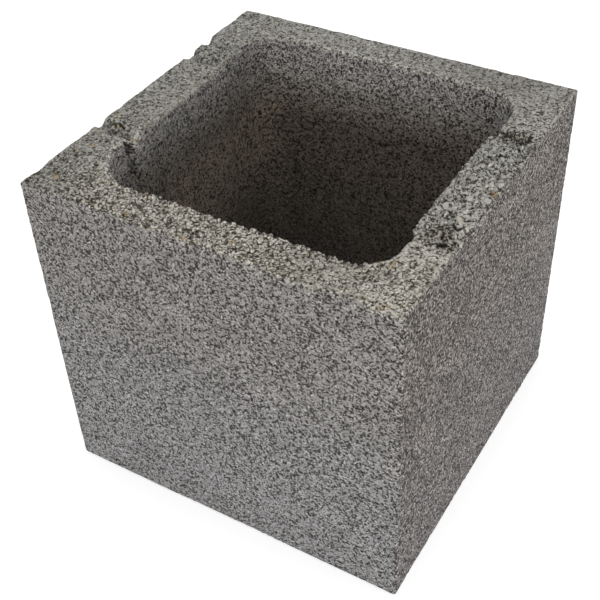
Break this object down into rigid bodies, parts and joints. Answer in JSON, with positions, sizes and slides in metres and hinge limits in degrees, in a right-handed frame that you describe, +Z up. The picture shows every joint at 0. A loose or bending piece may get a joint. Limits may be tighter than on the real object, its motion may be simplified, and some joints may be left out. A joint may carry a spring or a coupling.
{
  "type": "concrete deck pier block",
  "caption": "Hollow square concrete block for footings and deck piers, with a drafted open core and a torn top with core bar marks.",
  "frame": {"origin": "centre of the bottom face's outline, on the surface that the block stands on", "axes": "+Z up, through the open core; -Y towards the viewer's left-hand face in the picture; +X towards its right-hand face"},
  "size_m": [0.2, 0.197, 0.189],
  "materials": {
    "concrete": "dry-pressed grey concrete, open grained and matt, with brown and ochre sand grains"
  },
  "bodies": {
    "root": {"pier_block": "concrete"}
  },
  "joints": []
}
